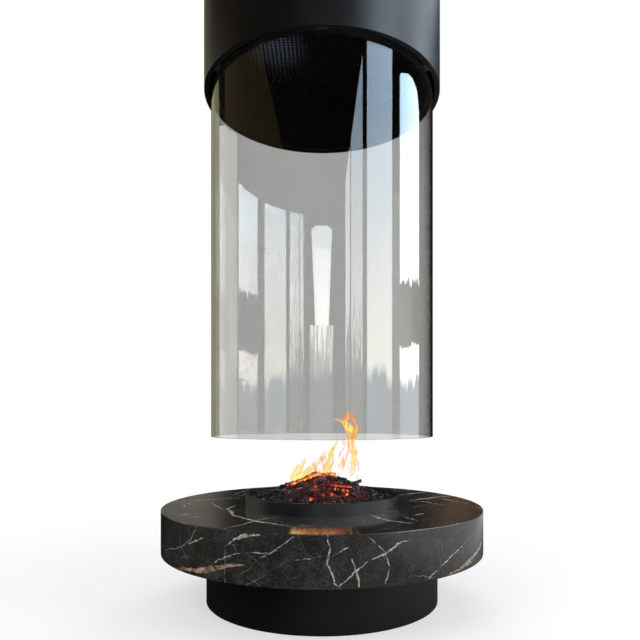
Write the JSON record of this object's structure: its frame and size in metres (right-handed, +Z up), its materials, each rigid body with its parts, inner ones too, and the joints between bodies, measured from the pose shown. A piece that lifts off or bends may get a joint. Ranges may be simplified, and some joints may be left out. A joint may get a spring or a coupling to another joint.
{
  "type": "central fireplace",
  "caption": "Round central fireplace: polished stone hearth ring with a fire bowl on a plinth, under a ceiling-hung steel hood whose glass cylinder lowers over the fire.",
  "frame": {"origin": "on the floor at the common axis of hearth and hood", "axes": "+Z up along the common axis, -Y towards the viewer of the picture"},
  "size_m": [1.345, 1.345, 3],
  "materials": {
    "hood_paint": "satin black heat-resistant paint",
    "inner_paint": "matt black heat-resistant paint",
    "plinth_paint": "matt black powder coat",
    "marble": "polished dark marble with pale and rust veins",
    "rim_steel": "dark grey satin",
    "bowl_steel": "heat-blackened steel",
    "grate_iron": "rough cast",
    "ember": "charcoal with glowing embers",
    "charred_wood": "charred and cracked",
    "clear_glass": "clear, polished edge",
    "bare_steel": "mill finish",
    "lift_aluminium": "anodised",
    "lift_chrome": "polished rod",
    "bush_bronze": "turned",
    "seal_fibre": "woven mineral fibre",
    "guide_graphite": "graphite",
    "actuator_plastic": "fine texture",
    "zinc_fastener": "zinc plated"
  },
  "bodies": {
    "hearth_and_hood": {"hood_shell": "hood_paint", "hood_bottom_ring": "hood_paint", "shell_screws": "hood_paint", "hood_liner": "inner_paint", "spark_screen": "inner_paint", "screen_brackets": "inner_paint", "smoke_dome": "inner_paint", "flue_collar": "inner_paint", "plinth_shell": "plinth_paint", "stone_top": "marble", "stone_apron": "marble", "stone_soffit": "marble", "bowl_rim": "rim_steel", "fire_bowl": "bowl_steel", "ash_pan": "bowl_steel", "ash_pan_stand": "bowl_steel", "grate": "grate_iron", "ember_bed": "ember", "log_left": "charred_wood", "log_right": "charred_wood", "log_front": "charred_wood", "log_back": "charred_wood", "log_side": "charred_wood", "log_top": "charred_wood", "plinth_floor_plate": "bare_steel", "plinth_top_plate": "bare_steel", "plinth_gussets": "bare_steel", "hearth_frame": "bare_steel", "air_box": "bare_steel", "air_spigot": "bare_steel", "ceiling_plate": "bare_steel", "dome_support_ring": "bare_steel", "lift_tube_1": "lift_aluminium", "lift_tube_2": "lift_aluminium", "lift_tube_3": "lift_aluminium", "lift_drive_1": "lift_aluminium", "lift_drive_2": "lift_aluminium", "lift_drive_3": "lift_aluminium", "air_damper_bushes": "bush_bronze", "flue_damper_bushes": "bush_bronze", "liner_seal": "seal_fibre", "glass_guide_pads": "guide_graphite", "air_damper_actuator": "actuator_plastic", "flue_damper_actuator": "actuator_plastic", "hanger_rods": "zinc_fastener", "hanger_nuts": "zinc_fastener"},
    "glass_carriage": {"glass_cylinder": "clear_glass", "glass_channel": "bare_steel", "channel_gasket": "seal_fibre", "carrier_ring": "bare_steel", "carrier_bolts": "zinc_fastener", "lift_rod_nuts": "zinc_fastener", "lift_rod_1": "lift_chrome", "lift_rod_2": "lift_chrome", "lift_rod_3": "lift_chrome"},
    "flue_damper": {"flue_damper_blade": "bare_steel", "flue_damper_shaft": "bare_steel"},
    "air_damper": {"air_damper_blade": "bare_steel", "air_damper_shaft": "bare_steel"}
  },
  "joints": [
    {"name": "glass_lift", "type": "slide", "parent": "hearth_and_hood", "child": "glass_carriage", "axis": [0, 0, 1], "range_m": [-0.288, 0]},
    {"name": "flue_damper_turn", "type": "hinge", "parent": "hearth_and_hood", "child": "flue_damper", "pos_m": [0, 0, 2.7865], "axis": [1, 0, 0], "range_deg": [0, 90]},
    {"name": "air_damper_turn", "type": "hinge", "parent": "hearth_and_hood", "child": "air_damper", "pos_m": [0, 0, 0.11], "axis": [1, 0, 0], "range_deg": [0, 90]}
  ]
}
